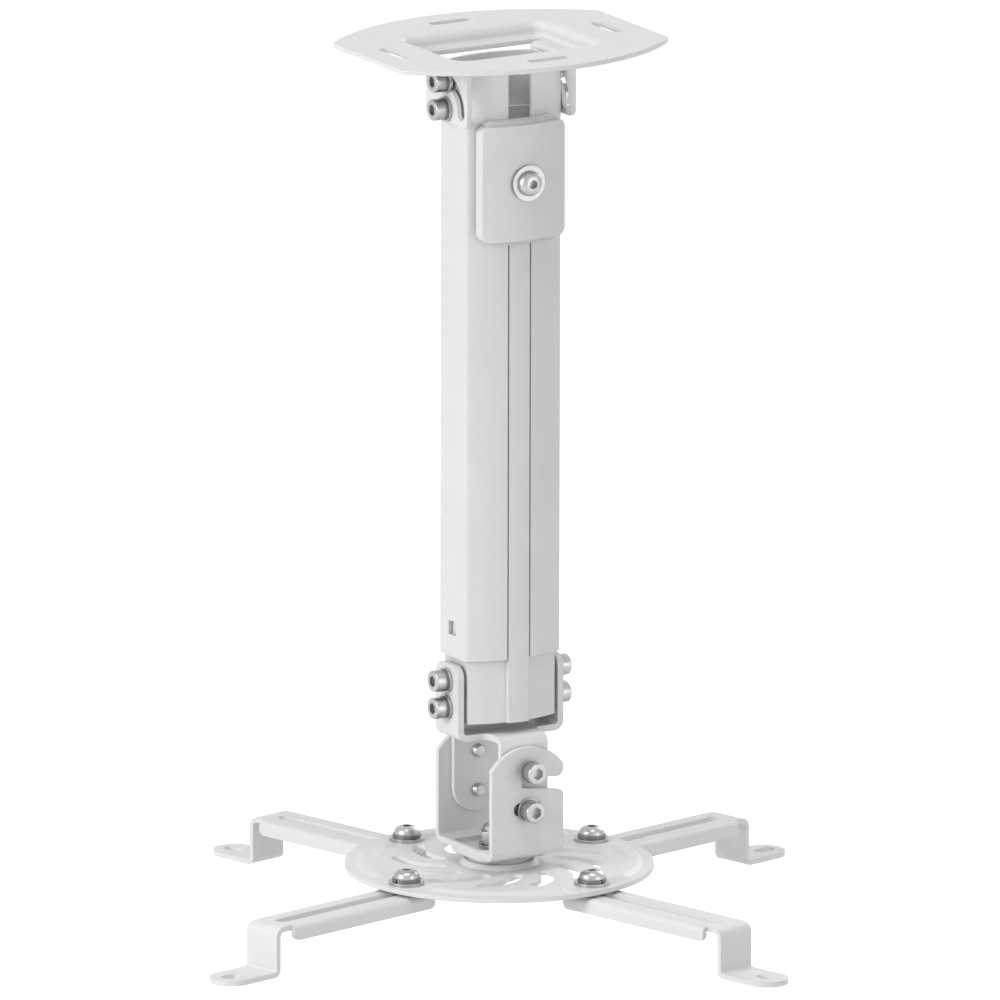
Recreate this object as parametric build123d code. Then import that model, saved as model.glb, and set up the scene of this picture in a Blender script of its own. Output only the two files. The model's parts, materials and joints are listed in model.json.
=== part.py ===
"""Projector ceiling mount: a telescopic column under a tilting ceiling plate, with a swivelling
disc and adjustable channel arms below. Millimetres, +Z up, origin at the centre of the ceiling
plate's top face, X along the column's wide face, -Y at the front where the clamp sits."""
from build123d import *
import math
import os

os.makedirs("parts", exist_ok=True)

# Clearances
running_gap = 0.3
hole_gap = 0.3

# M6 screws, nuts and washers
screw_r = 3.0
cap_head_r = 5.15
cap_head_h = 5.0
cap_head_chamfer = 0.5
cap_socket_flats = 5.0
button_socket_flats = 4.0
hex_socket_depth = 2.8
button_head_r = 6.2
button_head_h = 4.4
button_rim_h = 0.9
button_crown_r = 2.6
button_shoulder_r = 4.85
button_shoulder_h = 3.15
flat_washer_r = 6.0
flat_washer_t = 1.6
spring_washer_r = 5.3
spring_washer_t = 1.5
spring_washer_cut = 0.8
nut_flats = 10.0
nut_h = 5.0
thread_stub = 0.8

# Ceiling plate: one drawn and folded sheet
plate_half_length = 73.0
plate_end_half_width = 33.5
plate_mid_half_width = 63.3
plate_corner_r = 5.0
sheet = 2.2
recess_half_x = 42.5
recess_half_y = 32.3
recess_corner_r = 10.0
recess_rim_r = 4.0
recess_depth = 7.4
recess_foot_r = 2.3
mouth_half_y = 23.4
fixing_slot_length = 24.0
fixing_slot_width = 6.0
side_slot_y = 47.0
end_slot_x = 58.0
ear_outer_x = 29.8
ear_half_depth = 19.8
ear_fold_r = 0.5
ear_corner_r = 3.0
ear_below_pivot = 6.5
relief_r = 1.1
pivot_z = -30.0
arc_slot_r = 13.7
arc_slot_sweep = 90.0

# Outer column: rolled tube with bulged front and back, open along a front slot
column_half_width = 26.15
column_side_half_y = 12.4
column_apex_y = 18.6
column_wall = 1.8
column_corner_r = 2.0
column_bore_corner_r = 0.5
column_slot_width = 12.6
outer_top_z = -9.5
outer_length = 289.3
window_size = 6.8
window_above_end = 14.2

# Inner column: a closed tube that slides in the outer one, its front rib flush in the outer one's slot
telescope_gap = 0.35
inner_top_below_nut = 0.3
closed_gap = 2.7
rib_slot_gap = 0.7
rib_below_top = 4.0

# Clamp on the front: a pad held between the side flanges of a curved plate
clamp_half_width = 22.6
clamp_top_z = -36.2
clamp_height = 56.4
clamp_sheet = 2.4
clamp_flange_depth = 6.0
clamp_corner_r = 4.0
pad_t = 4.6
pad_overhang = 2.0
pad_side_gap = 0.2
pad_corner_r = 4.0
clamp_washer_r = 8.75
clamp_washer_t = 1.5
clamp_nut_half_width = 14.0
clamp_nut_height = 24.0
clamp_nut_t = 5.0
clamp_nut_corner_r = 1.5

# Foot bracket: one cross-shaped folded sheet
bracket_sheet = 3.2
bracket_fold_r = 1.8
bracket_ear_half_depth = 10.85
bracket_ear_height = 37.0
bracket_ear_corner_r = 6.0
spacer_length = 1.8
spacer_r = 6.2
foot_screw_spacing = 13.3
foot_screw_below_top = 8.0
base_below_column = 5.4
tongue_sheet = 3.0
tongue_half_width = 12.8
tongue_outer_y = 23.9
tilt_pivot_below_base = 16.5
tilt_screw_spacing = 19.4
tongue_end_below_screw = 10.5
bracket_relief_r = 4.0
tilt_stub = 3.0
tilt_hang_gap = 3.2

# Clevis: folded U with hooked ears
clevis_half_width = 19.6
clevis_sheet = 3.0
clevis_base_below_pivot = 43.2
clevis_ear_above_pivot = 11.4
clevis_ear_arc_r = 24.0
clevis_fold_r = 1.2
tilt_half_range = 13.0
hook_slot_height = 6.3
hook_slope = 8.5
hook_drop = 8.3
hook_tip_r = 4.0
clevis_corner_r = 2.5
dish_half_x = 17.5
dish_half_y = 14.5
dish_corner_r = 3.0
dish_depth = 3.0
dish_wall = 2.4
dish_side_land = 0.6
dish_floor_fold_r = 1.0
dish_under_fold_r = 1.6

# Swivel bolt and its stack
swivel_bolt_r = 5.0
swivel_washer_r = 10.0
swivel_washer_t = 2.0
swivel_flats = 17.0
swivel_nut_h = 7.0
swivel_collar_r = 7.65
swivel_collar_h = 3.0
swivel_stub = 2.0
swivel_head_h = 6.4
friction_washer_r = 15.0
friction_washer_t = 2.1

# Disc: pressed sheet
disc_r = 74.0
disc_sheet = 2.3
boss_foot_r = 19.0
boss_top_r = 17.0
boss_h = 2.35
rib_r = 64.0
rib_half_foot = 5.0
rib_half_top = 2.0
rib_h = 1.5
rib_half_sweep = 26.0
swirl_count = 12
swirl_width = 6.5
swirl_inner_r = 29.7
swirl_outer_r = 48.9
swirl_sweep = 24.6
swirl_start = 16.0
swirl_bulge = 3.65
arm_pivot_r = 62.6
arm_angle = 45.0

# Arms: four folded channels with stepped feet
arm_count = 4
arm_first_angle = 15.0
arm_sheet = 2.5
arm_spacer_t = 1.3
arm_spacer_r = 6.5
arm_inner_r = 56.0
arm_channel_end_r = 150.0
arm_width = 26.1
arm_flange_h = 7.2
arm_fold_r = 0.3
arm_flange_corner_r = 3.0
arm_strip_width = 20.5
arm_riser_r = 159.5
arm_riser_fold_r = 2.2
arm_foot_drop = 23.95
arm_foot_hole_r = 180.0
arm_foot_slot_length = 11.5
arm_slot_width = 6.5
arm_slot_inner_r = 59.4
arm_slot_outer_r = 149.0
arm_washer_r = 8.5
arm_washer_t = 1.5
arm_spring_washer_r = 6.8
flange_nut_r = 7.0
flange_nut_rim = 1.2

# Places worked out from the sizes above
clear_hole_r = screw_r + hole_gap
ear_inner_x = ear_outer_x - sheet
column_arc_r = (column_half_width**2 + (column_apex_y - column_side_half_y)**2) / (
    2 * (column_apex_y - column_side_half_y))
inner_inset = column_wall + telescope_gap
outer_bottom_z = outer_top_z - outer_length
bracket_ear_top_z = outer_bottom_z - closed_gap
bracket_bottom_z = bracket_ear_top_z - bracket_ear_height
bracket_top_z = bracket_bottom_z + bracket_sheet
inner_top_z = pivot_z - nut_flats / math.sqrt(3) - inner_top_below_nut
inner_bottom_z = bracket_top_z + base_below_column
inner_length = inner_top_z - inner_bottom_z
bracket_inner_x = column_half_width - inner_inset + spacer_length
bracket_outer_x = bracket_inner_x + bracket_sheet
foot_screw_z = [bracket_ear_top_z - foot_screw_below_top - i * foot_screw_spacing for i in range(2)]
tilt_z = bracket_top_z - tilt_pivot_below_base
tilt_screw_z = [tilt_z, tilt_z - tilt_screw_spacing]
clevis_inner_y = tongue_outer_y + running_gap
clevis_outer_y = clevis_inner_y + clevis_sheet
clevis_bottom_z = tilt_z - clevis_base_below_pivot
dish_floor_z = clevis_bottom_z + clevis_sheet - dish_depth
dish_under_z = dish_floor_z - clevis_sheet
boss_top_z = dish_under_z - friction_washer_t
disc_top_z = boss_top_z - boss_h
disc_under_z = disc_top_z - disc_sheet
arm_top_z = disc_under_z - arm_spacer_t
arm_under_z = arm_top_z - arm_sheet
clamp_screw_z = clamp_top_z - clamp_height / 2
clamp_front = running_gap + pad_t + clamp_sheet
rib_half_width = column_slot_width / 2 - rib_slot_gap
rib_top_z = inner_top_z - rib_below_top
arm_names = ["right", "back", "left", "front"]


def save(shape, name):
    """Writes one named piece."""
    export_step(shape, f"parts/{name}.step")


def turned(profile):
    """A solid of revolution from a closed outline of (radius, height) points."""
    return revolve(Plane.XZ * make_face(Polyline(*profile, close=True)), Axis.Z)


def ring(outer_r, inner_r, height):
    """A flat washer standing on the XY plane."""
    disc = Circle(outer_r) - Circle(inner_r)
    return extrude(disc, height)


def split_ring(outer_r, inner_r, height):
    """A spring washer with its cut."""
    cut = Pos(outer_r, 0, height / 2) * Rot(0, 30, 0) * Box(outer_r, spring_washer_cut, 4 * height)
    return ring(outer_r, inner_r, height) - cut


def hex_prism(flats, height):
    """A hexagonal bar standing on the XY plane."""
    return extrude(RegularPolygon(flats / 2, 6, major_radius=False), height)


def shank_below(radius, length):
    """A plain shank that hangs from the XY plane."""
    return Pos(0, 0, -length / 2) * Cylinder(radius, length)


def cap_screw(shank):
    """Socket cap screw: bearing face on the XY plane, head upwards, shank downwards."""
    head = turned([(0, 0), (cap_head_r, 0), (cap_head_r, cap_head_h - cap_head_chamfer),
                   (cap_head_r - cap_head_chamfer, cap_head_h), (0, cap_head_h)])
    socket = Pos(0, 0, cap_head_h - hex_socket_depth) * hex_prism(cap_socket_flats, hex_socket_depth)
    return head + shank_below(screw_r, shank) - socket


def button_screw(shank):
    """Button head screw with a domed head and hex socket."""
    dome = ThreePointArc((button_head_r, button_rim_h), (button_shoulder_r, button_shoulder_h),
                         (button_crown_r, button_head_h))
    edge = Polyline((button_crown_r, button_head_h), (0, button_head_h), (0, 0),
                    (button_head_r, 0), (button_head_r, button_rim_h))
    head = revolve(Plane.XZ * make_face([dome, edge]), Axis.Z)
    socket = Pos(0, 0, button_head_h - hex_socket_depth) * hex_prism(button_socket_flats, hex_socket_depth)
    return head + shank_below(screw_r, shank) - socket


def bored_nut(flats, height, bore_r):
    """A hexagonal nut standing on the XY plane."""
    return hex_prism(flats, height) - Pos(0, 0, height / 2) * Cylinder(bore_r, height + 1)


def facing(x, y, z, direction):
    """Location whose local Z points along the given row direction, at a row point."""
    return Plane(origin=(x, y, z), z_dir=direction).location


def column_section(inset, corner_r):
    """Closed section of the bulged column, inset from its outer surface."""
    radius = column_arc_r - inset
    centre = column_arc_r - column_apex_y
    section = Rectangle(2 * (column_half_width - inset), 2 * column_apex_y)
    section = section & (Pos(0, centre) * Circle(radius)) & (Pos(0, -centre) * Circle(radius))
    return fillet(section.vertices(), corner_r)


def column_ring(inset):
    """Section of a bulged tube's wall, inset from the outer column's surface."""
    outer_r = max(column_corner_r - inset, column_bore_corner_r)
    return column_section(inset, outer_r) - column_section(inset + column_wall, column_bore_corner_r)


def front_strip(inset, half_width):
    """Section of a strip up the middle of the column's front, out to an inset of its surface."""
    centre = column_arc_r - column_apex_y
    strip = Pos(0, -column_apex_y / 2) * Rectangle(2 * half_width, column_apex_y)
    return strip & (Pos(0, centre) * Circle(column_arc_r - inset))


def front_layer(inner_offset, layer_t, half_width, top_z, height, corner_r):
    """A curved plate that follows the column's front at a given offset from its outer surface."""
    centre = column_arc_r - column_apex_y
    inner_r = column_arc_r + inner_offset
    arc = Pos(0, centre) * (Circle(inner_r + layer_t) - Circle(inner_r))
    curved = Pos(0, 0, top_z - height) * extrude(arc, height)
    outline = RectangleRounded(2 * half_width, height, corner_r)
    front = Plane.XZ * Pos(0, top_z - height / 2) * outline
    return curved & extrude(front, 2 * column_apex_y, dir=(0, -1, 0))


def side_hole(y, z, radius, reach):
    """A bore along X through both sides."""
    return Pos(0, y, z) * Rot(0, 90, 0) * Cylinder(radius, 2 * reach)


def cross_hole(x, z, radius, reach):
    """A bore along Y through front and back."""
    return Pos(x, 0, z) * Rot(90, 0, 0) * Cylinder(radius, 2 * reach)


def ceiling_plate():
    """Flat plate with slots, a drawn recess and two ears folded down beside the column."""
    corner = (plate_half_length, plate_end_half_width)
    long_sides = [ThreePointArc((-corner[0], s * corner[1]), (0, s * plate_mid_half_width),
                                (corner[0], s * corner[1])) for s in (-1, 1)]
    ends = [Line((s * corner[0], -corner[1]), (s * corner[0], corner[1])) for s in (-1, 1)]
    outline = make_face(long_sides + ends)
    outline = fillet(outline.vertices(), plate_corner_r)
    plate = Pos(0, 0, -sheet) * extrude(outline, sheet)

    cup_x = recess_half_x - recess_rim_r
    cup_y = recess_half_y - recess_rim_r
    cup_r = recess_corner_r - recess_rim_r
    cup = Pos(0, 0, -recess_depth - sheet) * extrude(
        RectangleRounded(2 * (cup_x + sheet), 2 * (cup_y + sheet), cup_r + sheet), recess_depth + sheet)
    cup = fillet(cup.faces().sort_by(Axis.Z)[0].edges(), recess_foot_r + sheet)
    body = plate + cup
    throat = [e for e in body.edges() if abs(e.center().Z + sheet) < 0.01
              and e.bounding_box().size.Z < 0.01 and abs(e.center().X) < recess_half_x + sheet
              and abs(e.center().Y) < recess_half_y + sheet]
    body = fillet(throat, recess_rim_r - sheet)
    hollow = Pos(0, 0, -recess_depth) * extrude(RectangleRounded(2 * cup_x, 2 * cup_y, cup_r), recess_depth)
    hollow = fillet(hollow.faces().sort_by(Axis.Z)[0].edges(), recess_foot_r)
    body = body - hollow
    rim = [e for e in body.edges() if abs(e.center().Z) < 0.01
           and abs(e.center().X) < recess_half_x and abs(e.center().Y) < recess_half_y]
    body = fillet(rim, recess_rim_r)

    fold_x = ear_outer_x + ear_fold_r
    mouth = Box(2 * fold_x, 2 * mouth_half_y, 4 * recess_depth)
    body = body - mouth
    floor_z = -recess_depth
    ear_bottom_z = pivot_z - ear_below_pivot
    for side in (-1, 1):
        leg = Polyline((side * ear_inner_x, ear_bottom_z), (side * ear_inner_x, floor_z),
                       (side * (fold_x + sheet), floor_z), (side * (fold_x + sheet), floor_z - sheet),
                       (side * ear_outer_x, floor_z - sheet), (side * ear_outer_x, ear_bottom_z), close=True)
        section = make_face(leg)
        outer = section.vertices().sort_by_distance((side * ear_inner_x, floor_z, 0))[0]
        section = fillet(outer, ear_fold_r + sheet)
        inner = section.vertices().sort_by_distance((side * ear_outer_x, floor_z - sheet, 0))[0]
        section = fillet(inner, ear_fold_r)
        ear = extrude(Plane.XZ * section, ear_half_depth, both=True)
        low = ear.edges().filter_by(Axis.X).group_by(Axis.Z)[0]
        body = body + fillet(low, ear_corner_r)
        for end in (-1, 1):
            relief = SlotCenterToCenter(2 * relief_r + sheet, 2 * relief_r)
            place = Pos(side * fold_x, end * (ear_half_depth + relief_r), floor_z - sheet)
            body = body - place * extrude(relief, 2 * sheet, both=True)

    pivot_holes = side_hole(0, pivot_z, clear_hole_r, ear_outer_x + 1)
    slot_path = CenterArc((0, pivot_z), arc_slot_r, 90, arc_slot_sweep)
    arc_slot = extrude(Plane.YZ * SlotArc(slot_path, 2 * clear_hole_r), ear_outer_x + 1, both=True)
    body = body - pivot_holes - arc_slot

    fixing = SlotOverall(fixing_slot_length, fixing_slot_width)
    for side in (-1, 1):
        body = body - Pos(0, side * side_slot_y, -sheet) * extrude(fixing, 2 * sheet, both=True)
        end_place = Pos(side * end_slot_x, 0, -sheet) * Rot(0, 0, 90)
        body = body - end_place * extrude(fixing, 2 * sheet, both=True)
    return body


def outer_column():
    """The fixed tube of the telescope, with a slot down its front."""
    tube = Pos(0, 0, outer_bottom_z) * extrude(column_ring(0), outer_length)
    slot_z = outer_top_z - outer_length / 2
    tube = tube - Pos(0, -column_apex_y, slot_z) * Box(column_slot_width, column_apex_y, outer_length + 1)
    tube = tube - side_hole(0, pivot_z, clear_hole_r, column_half_width + 1)
    tube = tube - side_hole(0, pivot_z + arc_slot_r, clear_hole_r, column_half_width + 1)
    window_z = outer_bottom_z + window_above_end
    return tube - Pos(-column_half_width, 0, window_z) * Box(4 * column_wall, window_size, window_size)


def inner_column():
    """The sliding tube, with a hollow rib on its front, which ends just under the pivot nuts."""
    tube = Pos(0, 0, inner_bottom_z) * extrude(column_ring(inner_inset), inner_length)
    rib_length = rib_top_z - inner_bottom_z
    rib = Pos(0, 0, inner_bottom_z) * extrude(front_strip(0, rib_half_width), rib_length)
    bore = column_section(inner_inset + column_wall, column_bore_corner_r)
    tube = tube + rib - Pos(0, 0, inner_bottom_z) * extrude(bore, inner_length)
    hollow = front_strip(column_wall, rib_half_width - column_wall)
    tube = tube - Pos(0, 0, inner_bottom_z) * extrude(hollow, rib_length - column_wall)
    clamp_bore = Pos(0, -column_apex_y, clamp_screw_z) * Rot(90, 0, 0) * Cylinder(clear_hole_r, column_apex_y)
    tube = tube - clamp_bore
    for z in foot_screw_z:
        tube = tube - side_hole(0, z, clear_hole_r, column_half_width)
    return tube


def foot_bracket():
    """Cross-shaped sheet: ears up beside the inner column, tongues down for the tilt screws."""
    middle_z = (bracket_bottom_z + bracket_ear_top_z) / 2
    outer = Pos(0, middle_z) * Rectangle(2 * bracket_outer_x, bracket_ear_height)
    outer = fillet(outer.vertices().group_by(Axis.Y)[0], bracket_fold_r + bracket_sheet)
    inner_height = bracket_ear_top_z - bracket_top_z + 1
    inner = Pos(0, bracket_top_z + inner_height / 2) * Rectangle(2 * bracket_inner_x, inner_height)
    inner = fillet(inner.vertices().group_by(Axis.Y)[0], bracket_fold_r)
    cradle = extrude(Plane.XZ * (outer - inner), bracket_ear_half_depth, both=True)
    tops = cradle.edges().filter_by(Axis.X).group_by(Axis.Z)[-1]
    cradle = fillet(tops, bracket_ear_corner_r)

    tongue_end_z = tilt_screw_z[1] - tongue_end_below_screw
    tongue_height = bracket_top_z - tongue_end_z
    saddle = Pos(0, bracket_top_z - tongue_height / 2) * Rectangle(2 * tongue_outer_y, tongue_height)
    saddle = fillet(saddle.vertices().group_by(Axis.Y)[-1], bracket_fold_r + bracket_sheet)
    gap_height = tongue_height - bracket_sheet + 1
    gap_half = tongue_outer_y - tongue_sheet
    gap = Pos(0, bracket_bottom_z - gap_height / 2) * Rectangle(2 * gap_half, gap_height)
    gap = fillet(gap.vertices().group_by(Axis.Y)[-1], bracket_fold_r)
    saddle = extrude(Plane.YZ * (saddle - gap), tongue_half_width, both=True)
    face = Pos(0, bracket_top_z - tongue_height / 2) * Rectangle(2 * tongue_half_width, tongue_height)
    face = fillet(face.vertices().group_by(Axis.Y)[0], 0.99 * tongue_half_width)
    saddle = saddle & extrude(Plane.XZ * face, tongue_outer_y + 1, both=True)

    body = cradle + saddle
    inside = [e for e in body.edges().filter_by(Axis.Z)
              if abs(abs(e.center().X) - tongue_half_width) < 0.01
              and abs(abs(e.center().Y) - bracket_ear_half_depth) < 0.01]
    body = fillet(inside, bracket_relief_r)
    for z in foot_screw_z:
        body = body - side_hole(0, z, clear_hole_r, bracket_outer_x + 1)
    for z in tilt_screw_z:
        body = body - cross_hole(0, z, screw_r, tongue_outer_y + 1)
    return body


def clevis_ear_outline():
    """Front view of an ear: domed top, open hook round the pivot screw and the tilt slot."""
    dome_z = tilt_z + clevis_ear_above_pivot - clevis_ear_arc_r
    shoulder = math.sqrt(clevis_ear_arc_r**2 - clevis_half_width**2)
    block_height = dome_z + clevis_ear_arc_r - clevis_bottom_z
    block = Pos(0, clevis_bottom_z + block_height / 2) * Rectangle(2 * clevis_half_width, block_height)
    straight_height = dome_z + shoulder - clevis_bottom_z
    straight = Pos(0, clevis_bottom_z) * Rectangle(4 * clevis_half_width, 2 * straight_height)
    ear = block & (straight + Pos(0, dome_z) * Circle(clevis_ear_arc_r))

    seat_r = clear_hole_r
    slope = math.tan(math.radians(hook_slope))
    reach = 1.5 * clevis_half_width
    sill = [(-seat_r, tilt_z - hook_drop), (reach, tilt_z - hook_drop - slope * (reach + seat_r))]
    lip_z = sill[1][1] + hook_slot_height
    lip = [(reach, lip_z), (seat_r, lip_z + slope * (reach - seat_r))]
    channel = make_face(Polyline((-seat_r, tilt_z), *sill, *lip, (seat_r, tilt_z), close=True))
    ear = ear - channel - Pos(0, tilt_z) * Circle(seat_r)
    edge_sill_z = sill[1][1] + slope * (reach - clevis_half_width)
    tip = ear.vertices().sort_by_distance((clevis_half_width, edge_sill_z + hook_slot_height, 0))[0]
    ear = fillet(tip, hook_tip_r)
    sill_corner = ear.vertices().sort_by_distance((clevis_half_width, edge_sill_z, 0))[0]
    ear = fillet(sill_corner, clevis_corner_r)
    slot_path = CenterArc((0, tilt_z), tilt_screw_spacing, 270 - tilt_half_range, 2 * tilt_half_range)
    return ear - SlotArc(slot_path, 2 * clear_hole_r)


def clevis():
    """Folded U whose ears hang on the tilt screws and whose dished base holds the swivel bolt."""
    ear_top_z = tilt_z + clevis_ear_above_pivot
    height = ear_top_z - clevis_bottom_z
    outer = Pos(0, clevis_bottom_z + height / 2) * Rectangle(2 * clevis_outer_y, height)
    outer = fillet(outer.vertices().group_by(Axis.Y)[0], clevis_fold_r + clevis_sheet)
    inner = Pos(0, clevis_bottom_z + clevis_sheet + height / 2) * Rectangle(2 * clevis_inner_y, height)
    inner = fillet(inner.vertices().group_by(Axis.Y)[0], clevis_fold_r)
    body = extrude(Plane.YZ * (outer - inner), clevis_half_width, both=True)
    body = body & extrude(Plane.XZ * clevis_ear_outline(), clevis_outer_y + 1, both=True)

    under_x = min(dish_half_x + dish_wall, clevis_half_width - dish_side_land)
    under = RectangleRounded(2 * under_x, 2 * (dish_half_y + dish_wall), dish_corner_r + dish_wall)
    tray = Pos(0, 0, dish_under_z) * extrude(under, clevis_bottom_z - dish_under_z + clevis_sheet / 2)
    tray = fillet(tray.faces().sort_by(Axis.Z)[0].edges(), dish_under_fold_r)
    dish = Pos(0, 0, dish_floor_z) * extrude(
        RectangleRounded(2 * dish_half_x, 2 * dish_half_y, dish_corner_r), 2 * clevis_sheet)
    dish = fillet(dish.faces().sort_by(Axis.Z)[0].edges(), dish_floor_fold_r)
    bore = Pos(0, 0, dish_under_z) * Cylinder(swivel_bolt_r + hole_gap, 6 * clevis_sheet)
    return body + tray - dish - bore


def pressed_rib(base_z):
    """One arc rib on the disc, with tapered flanks and rounded ends."""
    flank = [(-rib_half_foot, 0), (-rib_half_top, rib_h), (rib_half_top, rib_h), (rib_half_foot, 0)]
    section = make_face(Polyline(*[(rib_r + x, base_z + z) for x, z in flank], close=True))
    bar = Rot(0, 0, -rib_half_sweep) * revolve(Plane.XZ * section, Axis.Z, 2 * rib_half_sweep)
    cone = [(0, base_z), (rib_half_foot, base_z), (rib_half_top, base_z + rib_h), (0, base_z + rib_h)]
    for end in (-1, 1):
        bar = bar + Rot(0, 0, end * rib_half_sweep) * Pos(rib_r, 0, 0) * turned(cone)
    return bar


def swirl_slot():
    """Outline of one curved slot, from its inner end outwards and clockwise."""
    start = math.radians(swirl_start)
    stop = math.radians(swirl_start - swirl_sweep)
    inner = Vector(swirl_inner_r * math.cos(start), swirl_inner_r * math.sin(start))
    outer = Vector(swirl_outer_r * math.cos(stop), swirl_outer_r * math.sin(stop))
    run = (outer - inner).normalized()
    middle = (inner + outer) * 0.5 + Vector(-run.Y, run.X) * swirl_bulge
    return SlotArc(ThreePointArc(inner, middle, outer), swirl_width)


def swivel_disc():
    """Pressed disc: raised boss, four arc ribs, curved slots and the arms' pivot holes."""
    disc = Pos(0, 0, disc_under_z) * extrude(Circle(disc_r), disc_sheet)
    arm_hole = Pos(arm_pivot_r, 0, disc_under_z) * Cylinder(clear_hole_r, 4 * disc_sheet)
    boss = turned([(0, disc_top_z), (boss_foot_r, disc_top_z), (boss_top_r, boss_top_z), (0, boss_top_z)])
    disc = disc + boss
    hollow_r = boss_top_r - disc_sheet
    hollow_foot_r = hollow_r + boss_foot_r - boss_top_r
    disc = disc - turned([(0, disc_under_z), (hollow_foot_r, disc_under_z),
                          (hollow_r, boss_top_z - disc_sheet), (0, boss_top_z - disc_sheet)])
    rib = pressed_rib(disc_top_z)
    groove = Pos(0, 0, -disc_sheet) * pressed_rib(disc_top_z)
    for k in range(arm_count):
        turn = Rot(0, 0, 90 * k)
        disc = disc + turn * rib - turn * groove
        disc = disc - Rot(0, 0, arm_angle) * turn * arm_hole
    slot = Pos(0, 0, disc_under_z) * extrude(swirl_slot(), 2 * disc_sheet, both=True)
    for k in range(swirl_count):
        disc = disc - Rot(0, 0, 360 / swirl_count * k) * slot
    disc = disc - Pos(0, 0, disc_under_z) * Cylinder(swivel_bolt_r + hole_gap, 6 * disc_sheet)
    return Rot(0, 0, arm_first_angle - arm_angle) * disc


def channel_arm():
    """One arm along +X: slotted channel, then a strip stepped down to a rounded foot."""
    channel_length = arm_channel_end_r - arm_inner_r
    outer = Pos(0, arm_top_z - arm_flange_h / 2) * Rectangle(arm_width, arm_flange_h)
    outer = fillet(outer.vertices().group_by(Axis.Y)[-1], arm_fold_r + arm_sheet)
    inner_height = arm_flange_h
    inner = Pos(0, arm_under_z - inner_height / 2) * Rectangle(arm_width - 2 * arm_sheet, inner_height)
    inner = fillet(inner.vertices().group_by(Axis.Y)[-1], arm_fold_r)
    channel = Pos(arm_inner_r, 0, 0) * extrude(Plane.YZ * (outer - inner), channel_length)
    low_ends = [e for e in channel.edges().filter_by(Axis.Y)
                if e.center().Z < arm_top_z - arm_flange_h + 0.01]
    channel = fillet(low_ends, arm_flange_corner_r)

    foot_under_z = arm_top_z - arm_foot_drop
    foot_end_r = arm_foot_hole_r + arm_strip_width / 2
    riser_in = arm_riser_r - arm_sheet
    strip_start = arm_channel_end_r - 2 * arm_strip_width
    side = Polyline((strip_start, arm_top_z), (arm_riser_r, arm_top_z),
                    (arm_riser_r, foot_under_z + arm_sheet), (foot_end_r, foot_under_z + arm_sheet),
                    (foot_end_r, foot_under_z), (riser_in, foot_under_z), (riser_in, arm_under_z),
                    (strip_start, arm_under_z), close=True)
    section = make_face(side)
    bends = [((arm_riser_r, arm_top_z), arm_riser_fold_r + arm_sheet),
             ((riser_in, arm_under_z), arm_riser_fold_r),
             ((arm_riser_r, foot_under_z + arm_sheet), arm_riser_fold_r / 2),
             ((riser_in, foot_under_z), arm_riser_fold_r / 2 + arm_sheet)]
    for (x, z), radius in bends:
        corner = section.vertices().sort_by_distance((x, z, 0))[0]
        section = fillet(corner, radius)
    half = arm_strip_width / 2
    strip = extrude(Plane.XZ * section, half, both=True)
    plan = Rectangle(2 * arm_foot_hole_r, arm_strip_width) + Pos(arm_foot_hole_r, 0) * Circle(half)
    strip = strip & Pos(0, 0, foot_under_z - 1) * extrude(plan, arm_foot_drop + 2)

    slot_length = arm_slot_outer_r - arm_slot_inner_r
    slot = Pos((arm_slot_outer_r + arm_slot_inner_r) / 2, 0, arm_under_z) * extrude(
        SlotOverall(slot_length, arm_slot_width), 2 * arm_sheet, both=True)
    foot_slot = Pos(arm_foot_hole_r, 0, foot_under_z) * extrude(
        SlotOverall(arm_foot_slot_length, arm_slot_width), 2 * arm_sheet, both=True)
    return channel + strip - slot - foot_slot


def ceiling_fasteners():
    """Screws, washers, spacers and nuts that hold the column between the plate's ears."""
    screws, flats, springs, nuts, spacers = [], [], [], [], []
    wall_in = column_half_width - column_wall
    shank = ear_outer_x + flat_washer_t + spring_washer_t - wall_in + nut_h + thread_stub
    for z in (pivot_z, pivot_z + arc_slot_r):
        for side in (-1, 1):
            out = (side, 0, 0)
            flats.append(facing(side * ear_outer_x, 0, z, out)
                         * ring(flat_washer_r, clear_hole_r, flat_washer_t))
            seat = ear_outer_x + flat_washer_t
            springs.append(facing(side * seat, 0, z, out)
                           * split_ring(spring_washer_r, screw_r, spring_washer_t))
            seat = seat + spring_washer_t
            screws.append(facing(side * seat, 0, z, out) * cap_screw(shank))
            nuts.append(facing(side * (wall_in - nut_h), 0, z, out) * bored_nut(nut_flats, nut_h, screw_r))
            spacers.append(facing(side * column_half_width, 0, z, out)
                           * ring(flat_washer_r, clear_hole_r, ear_inner_x - column_half_width))
    save(Compound(screws), "ceiling_screws")
    save(Compound(flats), "ceiling_flat_washers")
    save(Compound(springs), "ceiling_spring_washers")
    save(Compound(nuts), "ceiling_nuts")
    save(Compound(spacers), "ceiling_spacers")


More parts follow.
